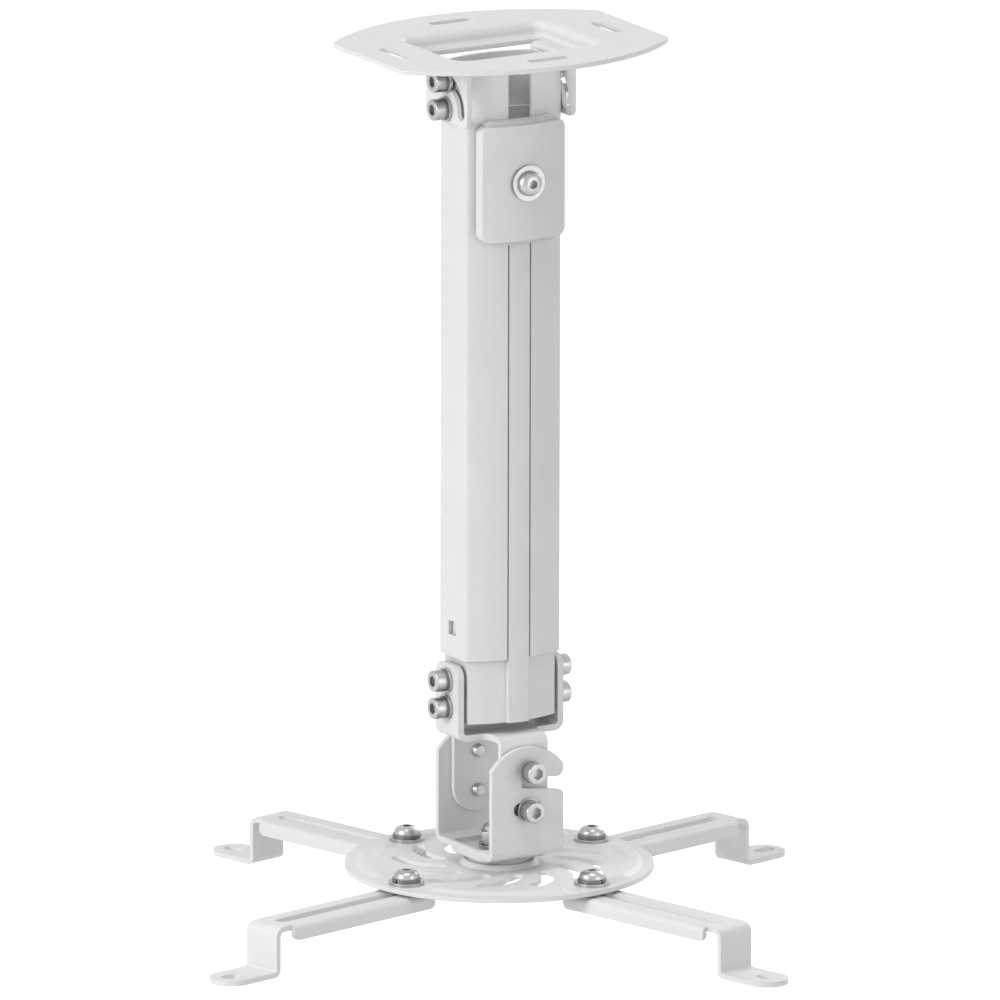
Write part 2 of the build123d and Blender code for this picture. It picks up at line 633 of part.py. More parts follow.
def clamp_pieces():
    """Curved plate and pad pinched against the column by one button screw."""
    bore = cross_hole(0, clamp_screw_z, clear_hole_r, 3 * column_apex_y)
    pocket_half = clamp_half_width - clamp_sheet
    pad_top_z = clamp_top_z + pad_overhang
    pad = front_layer(running_gap, pad_t, pocket_half - pad_side_gap, pad_top_z,
                      clamp_height + 2 * pad_overhang, pad_corner_r)
    plate = front_layer(clamp_front - clamp_flange_depth, clamp_flange_depth, clamp_half_width, clamp_top_z,
                        clamp_height, clamp_corner_r)
    pocket = Pos(0, 0, clamp_screw_z) * Box(2 * pocket_half, 6 * column_apex_y, 2 * clamp_height)
    behind = front_layer(-column_apex_y, column_apex_y + running_gap + pad_t, 2 * clamp_half_width,
                         pad_top_z, clamp_height + 2 * pad_overhang, clamp_corner_r)
    save(pad - bore, "clamp_pad")
    save(plate - (pocket & behind) - bore, "clamp_plate")
    front_y = -(column_apex_y + clamp_front)
    out = (0, -1, 0)
    washer = ring(clamp_washer_r, clear_hole_r, clamp_washer_t)
    save(facing(0, front_y, clamp_screw_z, out) * washer, "clamp_washer")
    nut_top = clamp_screw_z + clamp_nut_height / 2
    inner_wall = inner_inset + column_wall
    nut = front_layer(-inner_wall - clamp_nut_t, clamp_nut_t, clamp_nut_half_width, nut_top,
                      clamp_nut_height, clamp_nut_corner_r)
    save(nut - cross_hole(0, clamp_screw_z, screw_r, 2 * column_apex_y), "clamp_nut")
    head_y = -front_y + clamp_washer_t
    shank = head_y - (column_apex_y - inner_wall - clamp_nut_t) + thread_stub
    save(facing(0, -head_y, clamp_screw_z, out) * button_screw(shank), "clamp_screw")


def foot_fasteners():
    """Screws through the foot bracket's ears and the inner column."""
    screws, flats, springs, nuts, spacers = [], [], [], [], []
    tube_out = column_half_width - inner_inset
    wall_in = tube_out - column_wall
    seat = bracket_outer_x + flat_washer_t + spring_washer_t
    shank = seat - wall_in + nut_h + thread_stub
    for z in foot_screw_z:
        for side in (-1, 1):
            out = (side, 0, 0)
            flats.append(facing(side * bracket_outer_x, 0, z, out)
                         * ring(flat_washer_r, clear_hole_r, flat_washer_t))
            springs.append(facing(side * (bracket_outer_x + flat_washer_t), 0, z, out)
                           * split_ring(spring_washer_r, screw_r, spring_washer_t))
            screws.append(facing(side * seat, 0, z, out) * cap_screw(shank))
            nuts.append(facing(side * (wall_in - nut_h), 0, z, out) * bored_nut(nut_flats, nut_h, screw_r))
            spacers.append(facing(side * tube_out, 0, z, out) * ring(spacer_r, clear_hole_r, spacer_length))
    save(Compound(screws), "foot_screws")
    save(Compound(flats), "foot_flat_washers")
    save(Compound(springs), "foot_spring_washers")
    save(Compound(nuts), "foot_nuts")
    save(Compound(spacers), "foot_spacers")


def tilt_fasteners():
    """Screws threaded into the tongues: the hooks hang on the upper pair, the lower pair clamp the tilt."""
    screws, flats, springs = [], [], []
    end_y = tongue_outer_y - tongue_sheet - tilt_stub
    for side in (-1, 1):
        out = (0, side, 0)
        flats.append(facing(0, side * clevis_outer_y, tilt_screw_z[1], out)
                     * ring(flat_washer_r, clear_hole_r, flat_washer_t))
        for z, stand_off in zip(tilt_screw_z, (tilt_hang_gap, flat_washer_t)):
            seat = clevis_outer_y + stand_off
            springs.append(facing(0, side * seat, z, out)
                           * split_ring(spring_washer_r, screw_r, spring_washer_t))
            head_y = seat + spring_washer_t
            screws.append(facing(0, side * head_y, z, out) * cap_screw(head_y - end_y))
    save(Compound(screws), "tilt_screws")
    save(Compound(flats), "tilt_flat_washers")
    save(Compound(springs), "tilt_spring_washers")


def swivel_pieces():
    """Bolt, washers and locking nut that let the disc turn under the clevis."""
    washer = ring(swivel_washer_r, swivel_bolt_r + hole_gap, swivel_washer_t)
    save(Pos(0, 0, dish_floor_z) * washer, "swivel_top_washer")
    nut_z = dish_floor_z + swivel_washer_t
    nut = bored_nut(swivel_flats, swivel_nut_h, swivel_bolt_r)
    collar = Pos(0, 0, swivel_nut_h) * ring(swivel_collar_r, swivel_bolt_r, swivel_collar_h)
    save(Pos(0, 0, nut_z) * (nut + collar), "swivel_nut")
    friction = ring(friction_washer_r, swivel_bolt_r + hole_gap, friction_washer_t)
    save(Pos(0, 0, boss_top_z) * friction, "swivel_friction_washer")
    under_z = boss_top_z - disc_sheet
    save(Pos(0, 0, under_z - swivel_washer_t) * washer, "swivel_lower_washer")
    head_z = under_z - swivel_washer_t
    end_z = nut_z + swivel_nut_h + swivel_collar_h + swivel_stub
    head = Pos(0, 0, head_z - swivel_head_h) * hex_prism(swivel_flats, swivel_head_h)
    stem = Pos(0, 0, end_z) * shank_below(swivel_bolt_r, end_z - head_z)
    save(head + stem, "swivel_bolt")


def arm_fasteners(name, turn):
    """Bolt, washers, spacer and flange nut that clamp one arm under the disc."""
    at = turn * Pos(arm_pivot_r, 0, 0)
    washer = ring(arm_washer_r, clear_hole_r, arm_washer_t)
    spacer = ring(arm_spacer_r, clear_hole_r, arm_spacer_t)
    save(at * Pos(0, 0, disc_top_z) * washer, f"{name}_arm_washer")
    spring_z = disc_top_z + arm_washer_t
    save(at * Pos(0, 0, spring_z) * split_ring(arm_spring_washer_r, screw_r, spring_washer_t),
         f"{name}_arm_spring_washer")
    save(at * Pos(0, 0, arm_top_z) * spacer, f"{name}_arm_spacer")
    head_z = spring_z + spring_washer_t
    shank = head_z - arm_under_z + nut_h + thread_stub
    save(at * Pos(0, 0, head_z) * button_screw(shank), f"{name}_arm_bolt")
    rim = Pos(0, 0, -flange_nut_rim) * ring(flange_nut_r, screw_r, flange_nut_rim)
    body = Pos(0, 0, -nut_h) * bored_nut(nut_flats, nut_h - flange_nut_rim, screw_r)
    save(at * Pos(0, 0, arm_under_z) * (rim + body), f"{name}_arm_nut")


save(ceiling_plate(), "ceiling_plate")
save(outer_column(), "outer_column")
save(inner_column(), "inner_column")
save(foot_bracket(), "foot_bracket")
save(clevis(), "clevis")
save(swivel_disc(), "swivel_disc")
ceiling_fasteners()
clamp_pieces()
foot_fasteners()
tilt_fasteners()
swivel_pieces()
for index, arm_name in enumerate(arm_names):
    turn_to_arm = Rot(0, 0, arm_first_angle + 360 / arm_count * index)
    save(turn_to_arm * channel_arm(), f"{arm_name}_arm")
    arm_fasteners(arm_name, turn_to_arm)
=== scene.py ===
"""Looks of the projector ceiling mount: finishes, fasteners, light, floor and camera round the model."""
import json
import math

import bpy
from mathutils import Matrix, Vector


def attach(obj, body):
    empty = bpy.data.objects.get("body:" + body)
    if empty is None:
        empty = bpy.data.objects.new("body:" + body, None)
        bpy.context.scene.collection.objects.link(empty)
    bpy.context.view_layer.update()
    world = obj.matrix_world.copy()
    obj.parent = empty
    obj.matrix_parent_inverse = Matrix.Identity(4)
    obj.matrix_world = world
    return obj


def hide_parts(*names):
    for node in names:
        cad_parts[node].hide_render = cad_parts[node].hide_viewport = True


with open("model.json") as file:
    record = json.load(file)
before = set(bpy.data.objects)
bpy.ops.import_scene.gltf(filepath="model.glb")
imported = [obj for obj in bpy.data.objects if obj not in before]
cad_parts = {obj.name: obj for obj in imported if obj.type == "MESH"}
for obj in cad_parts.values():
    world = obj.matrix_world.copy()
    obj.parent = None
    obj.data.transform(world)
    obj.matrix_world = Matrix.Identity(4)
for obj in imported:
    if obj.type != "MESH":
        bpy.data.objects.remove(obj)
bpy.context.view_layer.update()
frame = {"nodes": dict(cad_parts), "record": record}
nodes = frame["nodes"]

# Camera: the drawing's parallel view. Angles in degrees, lens and sensor in millimetres, the rest in metres.
# A lens over 1700 puts the mount past the clip distance in the views from other sides
LOOK_AT = Vector((0.0, 0.0, -0.2248))
CAMERA_AZIMUTH = -30.0
CAMERA_ELEVATION = 13.3
CAMERA_ROLL = 0.12
CAMERA_LENS = 1500.0
CAMERA_SENSOR = 36.0
CLIP_START = 0.5
CLIP_END = 200.0
FRAME_WIDTH = 0.477

# Lamps: azimuth and elevation in degrees, distance and size in metres, power in watts
LAMPS = {
    "key_lamp": (-84, 18, 2.0, 1.0, 22.0),
    "fill_lamp": (25, 8, 2.4, 1.4, 9.0),
    "top_lamp": (-20, 75, 2.2, 1.0, 14.0),
    "back_lamp": (118, 22, 2.2, 1.2, 11.0),
}
WORLD_LIGHT = 0.36
WORLD_SEEN = 1.0

# Floor below the mount with its column pulled out. It glows to the camera, more so farther out, to stay white
FLOOR_Z = -0.70
FLOOR_HALF = 150.0
FLOOR_TONE = 0.80
FLOOR_GLOW = 0.40
FAR_FLOOR_GLOW = 0.80
GLOW_START = 0.3
GLOW_END = 1.1

# Sizes of the screws, bolts and nuts, named as the inputs of their node trees
M6_RADIUS = 0.0030
M10_RADIUS = 0.0050
M6 = {"Thread Radius": M6_RADIUS, "Thread Pitch": 0.0010}
M10 = {"Thread Radius": M10_RADIUS, "Thread Pitch": 0.0015}
CAP_SCREW = {"Head Radius": 0.00515, "Head Height": 0.0050, "Rim Height": 0.0044, "Crown Radius": 0.00455,
             "Socket Flats": 0.0050, "Socket Depth": 0.0028, **M6}
BUTTON_SCREW = {"Head Radius": 0.0062, "Head Height": 0.0039, "Rim Height": 0.0005, "Crown Radius": 0.0025,
                "Socket Flats": 0.0040, "Socket Depth": 0.0028, **M6}
SWIVEL_BOLT = {"Flats": 0.017, "Head Height": 0.0064, "Shank Length": 0.0226, **M10}
LOCK_NUT = {"Flats": 0.017, "Hex Start": 0.0, "Hex Height": 0.0070, "Bore Radius": M10_RADIUS,
            "Round Start": 0.0070, "Round Height": 0.0022, "Round Radius": 0.00765, "Round Crown": 0.0066,
            "Round Bore": 0.0063}
NUT_INSERT = {"Radius": 0.0063, "Bore Radius": M10_RADIUS, "Start": 0.0062, "Height": 0.0027}
FLANGE_NUT = {"Flats": 0.010, "Hex Start": 0.0010, "Hex Height": 0.0040, "Bore Radius": M6_RADIUS,
              "Round Start": 0.0, "Round Height": 0.0014, "Round Radius": 0.0070, "Round Crown": 0.0058,
              "Round Bore": M6_RADIUS}
# The plain nut's round part is narrower than its bore, so the bore takes it away
PLAIN_NUT = {"Flats": 0.010, "Hex Start": 0.0, "Hex Height": 0.0050, "Bore Radius": M6_RADIUS,
             "Round Start": 0.001, "Round Height": 0.001, "Round Radius": 0.001, "Round Crown": 0.0008,
             "Round Bore": M6_RADIUS}

# Places of the fasteners in the part: seats of heads and nuts from the centre, heights, and shank lengths
CEILING_SCREW_X = 0.0329
CEILING_NUT_X = 0.02435
CEILING_SCREW_Z = (-0.0163, -0.0300)
CEILING_SHANK = 0.01435
FOOT_SCREW_X = 0.0321
FOOT_NUT_X = 0.0222
FOOT_SCREW_Z = (-0.3095, -0.3228)
FOOT_SHANK = 0.0157
HOOK_SCREW_Y = 0.0319
HOOK_SCREW_Z = -0.3518
HOOK_SHANK = 0.0140
TILT_LOCK_Y = 0.0303
TILT_LOCK_Z = -0.3712
TILT_LOCK_SHANK = 0.0124
CLAMP_SCREW_Y = -0.0274
CLAMP_SCREW_Z = -0.0644
CLAMP_SHANK = 0.01855
SWIVEL_NUT_Z = -0.3930
SWIVEL_HEAD_Z = -0.4044
ARMS = ("right", "back", "left", "front")
ARM_FIRST = 15.0
ARM_STEP = 90
ARM_PIVOT = 0.0626
ARM_HEAD_Z = -0.39945
ARM_NUT_Z = -0.40855
ARM_SHANK = 0.0149
UP = (0.0, 0.0, 1.0)
DOWN = (0.0, 0.0, -1.0)
UPRIGHT = math.radians(90)

# Meshes of the fasteners
ROUND_SIDES = 48
CORE_SIDES = 32
SPIRAL_STEPS = 24
HEX_CORNER = 1 / math.sqrt(3)
HEX_MIDDLE_REACH = 0.605
HEX_END_REACH = 0.478
HEX_CHAMFER = 0.073
COLLAR_RIM = 0.4
INSERT_RIM = 0.8
INSERT_CROWN = 0.93
CREASE_ANGLE = 0.6
SLIVER = 0.000003

# Finishes: scale of the noise in each pattern, part of a noise's range that is used, and metres for the rest
COAT_CLOUDS = 28.0
COAT_SPECKLES = 2600.0
COAT_WIDE_PEEL = 620.0
COAT_FINE_PEEL = 1900.0
COAT_GLOSS = 90.0
# Reach of the ambient occlusion that paints shade into the coat's creases
COAT_PAINTED_SHADE_REACH = 0.008
COAT_EDGE = 0.0005
COAT_BUMP = 0.0002
ZINC_PATCHES = 160.0
ZINC_STREAKS = 700.0
ZINC_STREAK_STRETCH = (1.0, 1.0, 9.0)
ZINC_GLOSS = 420.0
ZINC_EDGE = 0.00035
ZINC_BUMP = 0.0001
PLASTIC_FLOW = 45.0
PLASTIC_GLOSS = 300.0
PLASTIC_EDGE = 0.0005
PLASTIC_BUMP = 0.0001
PLASTIC_DEPTH = 0.001
RAY_SAMPLES = 6
NOISE_LOW = 0.3
NOISE_HIGH = 0.7


class Nodes:
    """A node tree, with short ways to add and link nodes."""

    def __init__(self, tree):
        self.tree = tree
        tree.nodes.clear()

    def add(self, kind, inputs=None, **settings):
        """Adds a node. An input is a value or another node's output."""
        node = self.tree.nodes.new(kind)
        for name, value in settings.items():
            setattr(node, name, value)
        for name, value in (inputs or {}).items():
            socket = node.inputs[name]
            if isinstance(value, bpy.types.NodeSocket):
                self.tree.links.new(value, socket)
            else:
                socket.default_value = value
        return node

    def math(self, operation, a, b=0.0, c=0.0, clamp=False):
        """One Math node, as its output."""
        node = self.add("ShaderNodeMath", {0: a, 1: b, 2: c}, operation=operation, use_clamp=clamp)
        return node.outputs[0]

    def span(self, value, low, high, to_low, to_high):
        """A value moved from one range to another, as an output."""
        node = self.add("ShaderNodeMapRange", {
            "Value": value, "From Min": low, "From Max": high, "To Min": to_low, "To Max": to_high})
        return node.outputs["Result"]

    def noise(self, coords, scale, detail=3.0):
        """Noise of about 1/scale metres, as an output."""
        node = self.add("ShaderNodeTexNoise", {"Vector": coords, "Scale": scale, "Detail": detail})
        return node.outputs["Fac"]

    def stretched(self, noise, low=0.0, high=1.0):
        """The middle part of a noise's range, stretched to run from low to high."""
        return self.span(noise, NOISE_LOW, NOISE_HIGH, low, high)

    def colours(self, factor, first, second):
        """A mix of two colours, as an output."""
        return self.add("ShaderNodeMix", {0: factor, 6: first, 7: second}, data_type="RGBA").outputs[2]


class Shape(Nodes):
    """A Geometry Nodes tree with named sizes, laid out on places and made real in one finish."""

    def __init__(self, name, sizes):
        super().__init__(bpy.data.node_groups.new(name, "GeometryNodeTree"))
        sockets = self.tree.interface
        sockets.new_socket("Places", in_out="INPUT", socket_type="NodeSocketGeometry")
        for size in sizes:
            sockets.new_socket(size, in_out="INPUT", socket_type="NodeSocketFloat")
        sockets.new_socket("Finish", in_out="INPUT", socket_type="NodeSocketMaterial")
        sockets.new_socket("Mesh", in_out="OUTPUT", socket_type="NodeSocketGeometry")
        self.given = self.add("NodeGroupInput").outputs

    def times(self, value, factor):
        """A product, as an output."""
        return self.math("MULTIPLY", value, factor)

    def vector(self, x=0.0, y=0.0, z=0.0):
        """A vector from three values or outputs."""
        return self.add("ShaderNodeCombineXYZ", {"X": x, "Y": y, "Z": z}).outputs[0]

    def moved(self, mesh, height):
        """The mesh lifted by a height."""
        lift = self.vector(z=height)
        return self.add("GeometryNodeTransform", {"Geometry": mesh, "Translation": lift}).outputs[0]

    def cylinder(self, sides, radius, bottom, height):
        """A closed cylinder or prism that stands on a height."""
        mesh = self.add("GeometryNodeMeshCylinder", {"Vertices": sides, "Radius": radius, "Depth": height})
        return self.moved(mesh.outputs["Mesh"], self.math("ADD", bottom, self.times(height, 0.5)))

    def joined(self, *meshes):
        """The meshes side by side, as one."""
        node = self.add("GeometryNodeJoinGeometry")
        for mesh in reversed(meshes):
            self.tree.links.new(mesh, node.inputs[0])
        return node.outputs[0]

    def cut(self, mesh, tool):
        """The mesh with the tool's shape taken out."""
        node = self.add("GeometryNodeMeshBoolean", {"Mesh 1": mesh, "Mesh 2": tool}, operation="DIFFERENCE",
                        solver="EXACT")
        return node.outputs["Mesh"]

    def common(self, first, second):
        """The part that two closed meshes share."""
        node = self.add("GeometryNodeMeshBoolean", operation="INTERSECT", solver="EXACT")
        for mesh in (first, second):
            self.tree.links.new(mesh, node.inputs["Mesh 2"])
        return node.outputs["Mesh"]

    def reshaped(self, rings, reach_and_rise):
        """A unit cylinder whose rings are set by a rule: level from 0 to 1 gives reach and rise."""
        mesh = self.add("GeometryNodeMeshCylinder", {
            "Vertices": ROUND_SIDES, "Side Segments": rings, "Radius": 1.0, "Depth": 1.0}).outputs["Mesh"]
        position = self.add("GeometryNodeInputPosition").outputs[0]
        x, y, z = self.add("ShaderNodeSeparateXYZ", {0: position}).outputs
        reach, rise = reach_and_rise(self.math("ADD", z, 0.5))
        place = self.vector(self.times(x, reach), self.times(y, reach), rise)
        return self.add("GeometryNodeSetPosition", {"Geometry": mesh, "Position": place}).outputs[0]

    def domed(self, radius, height, rim, crown, rings=7):
        """A round head: its side rises straight to the rim and curves in to the crown."""
        def rule(level):
            turn = self.span(level, 1 / rings, 1.0, 0.0, math.pi / 2)
            width = self.math("SUBTRACT", radius, crown)
            reach = self.math("MULTIPLY_ADD", width, self.math("COSINE", turn), crown)
            straight = self.times(self.math("MULTIPLY", level, rings, clamp=True), rim)
            arch = self.math("SUBTRACT", height, rim)
            return reach, self.math("MULTIPLY_ADD", arch, self.math("SINE", turn), straight)
        return self.reshaped(rings, rule)

    def hex_body(self, flats, height):
        """A hexagon with its corners turned off at both ends."""
        def rule(level):
            side = self.math("MULTIPLY_ADD", level, 2.0, -1.0)
            end = self.math("ABSOLUTE", side)
            reach = self.times(flats, self.span(end, 1 / 3, 1.0, HEX_MIDDLE_REACH, HEX_END_REACH))
            half = self.times(height, 0.5)
            inner = self.math("SUBTRACT", half, self.times(flats, HEX_CHAMFER))
            climb = self.times(self.math("SIGN", side), self.span(end, 1 / 3, 1.0, inner, half))
            return reach, self.math("ADD", half, climb)
        prism = self.cylinder(6, self.times(flats, HEX_CORNER), self.times(height, -0.2),
                              self.times(height, 1.4))
        return self.common(prism, self.reshaped(3, rule))

    def bored(self, mesh, radius, length):
        """The mesh with a round hole down its axis, cut well past a length on both sides."""
        return self.cut(mesh, self.cylinder(ROUND_SIDES, radius, self.times(length, -1.0),
                                            self.times(length, 3.0)))

    def threaded(self):
        """A threaded shank of the given sizes that hangs from the ground plane."""
        radius, pitch, length = (self.given[n] for n in ("Thread Radius", "Thread Pitch", "Shank Length"))
        half = self.times(pitch, 0.5)
        core = self.math("SUBTRACT", radius, half)
        down = self.times(length, -1.0)
        ridge_length = self.math("SUBTRACT", length, pitch)
        spiral = self.add("GeometryNodeCurveSpiral", {
            "Resolution": SPIRAL_STEPS, "Rotations": self.math("DIVIDE", ridge_length, pitch),
            "Start Radius": core, "End Radius": core, "Height": ridge_length, "Reverse": True}).outputs[0]
        level = self.add("GeometryNodeSetCurveNormal", {"Curve": spiral}, mode="Z_UP").outputs[0]
        profile = self.add("GeometryNodeCurvePrimitiveCircle", {"Resolution": 4, "Radius": half}).outputs[0]
        ridge = self.add("GeometryNodeCurveToMesh", {
            "Curve": level, "Profile Curve": profile, "Fill Caps": True}).outputs[0]
        ridge = self.moved(ridge, self.math("ADD", down, half))
        return self.joined(ridge, self.cylinder(CORE_SIDES, core, down, length))

    def stored(self, name, kind):
        """A value kept on each place, as an output."""
        return self.add("GeometryNodeInputNamedAttribute", {"Name": name}, data_type=kind).outputs[0]

    def lay_out(self, mesh):
        """Ends the tree: no slivers, smooth sides, crisp edges, one copy on each place, real meshes."""
        clean = self.add("GeometryNodeMergeByDistance", {0: mesh, "Distance": SLIVER}).outputs[0]
        smooth = self.add("GeometryNodeSetShadeSmooth", {0: clean}).outputs[0]
        angle = self.add("GeometryNodeInputMeshEdgeAngle").outputs[0]
        sharp = self.add("FunctionNodeCompare", {0: angle, 1: CREASE_ANGLE}, data_type="FLOAT",
                         operation="GREATER_THAN").outputs[0]
        crisp = self.add("GeometryNodeSetShadeSmooth", {0: smooth, "Selection": sharp, "Shade Smooth": False},
                         domain="EDGE").outputs[0]
        turn = self.stored("turn", "FLOAT")
        out = self.stored("out", "FLOAT_VECTOR")
        spin = self.add("FunctionNodeAxisAngleToRotation", {"Axis": UP, "Angle": turn}).outputs[0]
        facing = self.add("FunctionNodeAlignRotationToVector", {"Rotation": spin, "Vector": out}, axis="Z")
        copies = self.add("GeometryNodeInstanceOnPoints", {
            "Points": self.given["Places"], "Instance": crisp, "Rotation": facing.outputs[0]}).outputs[0]
        real = self.add("GeometryNodeRealizeInstances", {0: copies}).outputs[0]
        done = self.add("GeometryNodeSetMaterial", {"Geometry": real, "Material": self.given["Finish"]})
        self.tree.links.new(done.outputs[0], self.add("NodeGroupOutput").inputs[0])
        return self


def grey(level, warmth=0.0):
    """A near-grey colour, warmer where warmth is above 0."""
    return (level * (1 + warmth), level, level * (1 - warmth), 1.0)


def linked(thing):
    """The object, put into the scene."""
    bpy.context.scene.collection.objects.link(thing)
    return thing


def new_material(name):
    """An empty material and its node tree."""
    material = bpy.data.materials.new(name)
    material.use_nodes = True
    return material, Nodes(material.node_tree)


def shifted_place(tree, seed):
    """Coordinates on the object, shifted so that finishes of one kind differ."""
    coords = tree.add("ShaderNodeTexCoord").outputs["Object"]
    return tree.add("ShaderNodeMapping", {"Vector": coords, "Location": (seed, seed, seed)}).outputs[0]


def worn_edges(tree, radius):
    """Normal rounded at the edges, and how far it leaves the surface's own normal."""
    soft = tree.add("ShaderNodeBevel", {"Radius": radius}, samples=RAY_SAMPLES)
    own = tree.add("ShaderNodeNewGeometry")
    dot = tree.add("ShaderNodeVectorMath", {0: soft.outputs["Normal"], 1: own.outputs["Normal"]},
                   operation="DOT_PRODUCT")
    edge = tree.math("SUBTRACT", 1.0, dot.outputs["Value"], clamp=True)
    return soft.outputs["Normal"], edge


def bumped(tree, strength, distance, height, normal):
    """A normal with small bumps on it."""
    bump = tree.add("ShaderNodeBump", {
        "Strength": strength, "Distance": distance, "Height": height, "Normal": normal})
    return bump.outputs["Normal"]


def surfaced(tree, inputs):
    """Ends a material's tree with one shader."""
    shader = tree.add("ShaderNodeBsdfPrincipled", inputs)
    tree.add("ShaderNodeOutputMaterial", {"Surface": shader.outputs[0]})


def powder_coat(name, level, seed):
    """Baked white powder: fine orange peel and faint speckle, painted shade in the creases, greyer on the
    edges.
    """
    material, tree = new_material(name)
    place = shifted_place(tree, seed)
    rounded, edge = worn_edges(tree, COAT_EDGE)
    cloud = tree.noise(place, COAT_CLOUDS, 4.0)
    speckle = tree.noise(place, COAT_SPECKLES, 2.0)
    # Painted shade: ambient occlusion darkens the coat's tone in creases, slots and recesses, where nearby
    # surfaces hem it in
    painted_shade_ao = tree.add("ShaderNodeAmbientOcclusion", {"Distance": COAT_PAINTED_SHADE_REACH}, samples=RAY_SAMPLES)
    painted_crease_shade = painted_shade_ao.outputs["AO"]
    tone = tree.colours(tree.stretched(cloud), grey(level, 0.004), grey(level * 0.965, 0.012))
    tone = tree.colours(tree.span(speckle, 0.66, 0.80, 0.0, 0.35), tone, grey(level * 0.80))
    tone = tree.colours(tree.span(painted_crease_shade, 0.15, 0.80, 0.60, 0.0), tone, grey(level * 0.60, 0.01))
    tone = tree.colours(tree.span(edge, 0.05, 0.5, 0.0, 0.30), tone, grey(level * 0.86))
    wide = tree.noise(place, COAT_WIDE_PEEL, 2.0)
    fine = tree.noise(place, COAT_FINE_PEEL, 2.0)
    peel = tree.math("ADD", wide, tree.math("MULTIPLY", fine, 0.35))
    surfaced(tree, {
        "Base Color": tone, "Roughness": tree.stretched(tree.noise(place, COAT_GLOSS), 0.36, 0.48),
        "Normal": bumped(tree, 0.32, COAT_BUMP, peel, rounded)})
    return material


def plated(name, level, warmth, rough_low, rough_high, seed=0.0):
    """Plated steel: brushed streaks, patchy gloss, edges rubbed brighter."""
    material, tree = new_material(name)
    place = shifted_place(tree, seed)
    along = tree.add("ShaderNodeMapping", {"Vector": place, "Scale": ZINC_STREAK_STRETCH}).outputs[0]
    rounded, edge = worn_edges(tree, ZINC_EDGE)
    patches = tree.noise(place, ZINC_PATCHES, 4.0)
    streaks = tree.noise(along, ZINC_STREAKS)
    tone = tree.colours(tree.stretched(patches), grey(level, warmth), grey(level * 0.80, -warmth))
    tone = tree.colours(tree.span(streaks, 0.45, 0.8, 0.0, 0.4), tone, grey(level * 0.72))
    tone = tree.colours(tree.span(edge, 0.05, 0.4, 0.0, 0.6), tone, grey(min(level * 1.25, 0.85)))
    surfaced(tree, {
        "Base Color": tone, "Metallic": 1.0,
        "Roughness": tree.stretched(tree.noise(place, ZINC_GLOSS), rough_low, rough_high),
        "Normal": bumped(tree, 0.20, ZINC_BUMP, streaks, rounded)})
    return material


def moulded(name, level, warmth, grain, roughness, seed=0.0):
    """Injection moulded plastic with an even spark-eroded grain."""
    material, tree = new_material(name)
    place = shifted_place(tree, seed)
    rounded, edge = worn_edges(tree, PLASTIC_EDGE)
    flow = tree.noise(place, PLASTIC_FLOW)
    tone = tree.colours(tree.stretched(flow), grey(level, warmth), grey(level * 0.94, warmth * 1.5))
    tone = tree.colours(tree.span(edge, 0.05, 0.5, 0.0, 0.25), tone, grey(min(level * 1.1, 0.9)))
    pits = tree.add("ShaderNodeTexVoronoi", {"Vector": place, "Scale": grain}).outputs["Distance"]
    gloss = tree.noise(place, PLASTIC_GLOSS, 2.0)
    surfaced(tree, {
        "Base Color": tone, "Roughness": tree.stretched(gloss, roughness - 0.05, roughness + 0.05),
        "Subsurface Weight": 0.05, "Subsurface Scale": PLASTIC_DEPTH,
        "Normal": bumped(tree, 0.28, PLASTIC_BUMP, pits, rounded)})
    return material


finishes = {
    "plate_coat": powder_coat("plate_powder_coat", 0.80, 0.0),
    "column_coat": powder_coat("column_powder_coat", 0.79, 0.7),
    "bracket_coat": powder_coat("bracket_powder_coat", 0.80, 1.3),
    "disc_coat": powder_coat("disc_powder_coat", 0.80, 2.1),
    "arm_coat": powder_coat("arm_powder_coat", 0.80, 3.4),
    "pad_plastic": moulded("clamp_pad_plastic", 0.70, 0.01, 1500.0, 0.55),
    "zinc": plated("bright_zinc_plate", 0.50, -0.015, 0.26, 0.40),
    "dark_zinc": plated("dark_zinc_plate", 0.24, 0.0, 0.38, 0.52, seed=5.0),
    "nylon": moulded("natural_nylon", 0.70, 0.015, 900.0, 0.42, seed=4.0),
}


def coat_model():
    """Gives each node of the fixed model the finish of its material slot."""
    slot_of = {row["node"]: row["material_slot"] for row in frame["record"]["subparts"]}
    for name, piece in nodes.items():
        finish = finishes[slot_of[name]]
        if not piece.material_slots:
            piece.data.materials.append(finish)
        for slot in piece.material_slots:
            slot.material = finish


def socket_screw_tree():
    """Screw with a round head, a hexagon socket and a threaded shank."""
    tree = Shape("socket_screw", ["Head Radius", "Head Height", "Rim Height", "Crown Radius", "Socket Flats",
                                  "Socket Depth", "Thread Radius", "Thread Pitch", "Shank Length"])
    size = tree.given
    head = tree.domed(size["Head Radius"], size["Head Height"], size["Rim Height"], size["Crown Radius"])
    floor = tree.math("SUBTRACT", size["Head Height"], size["Socket Depth"])
    corner = tree.times(size["Socket Flats"], HEX_CORNER)
    socket = tree.cylinder(6, corner, floor, tree.times(size["Socket Depth"], 2.0))
    return tree.lay_out(tree.joined(tree.cut(head, socket), tree.threaded()))


def hex_bolt_tree():
    """Bolt with a hexagon head and a threaded shank."""
    tree = Shape("hex_bolt", ["Flats", "Head Height", "Thread Radius", "Thread Pitch", "Shank Length"])
    head = tree.hex_body(tree.given["Flats"], tree.given["Head Height"])
    return tree.lay_out(tree.joined(head, tree.threaded()))


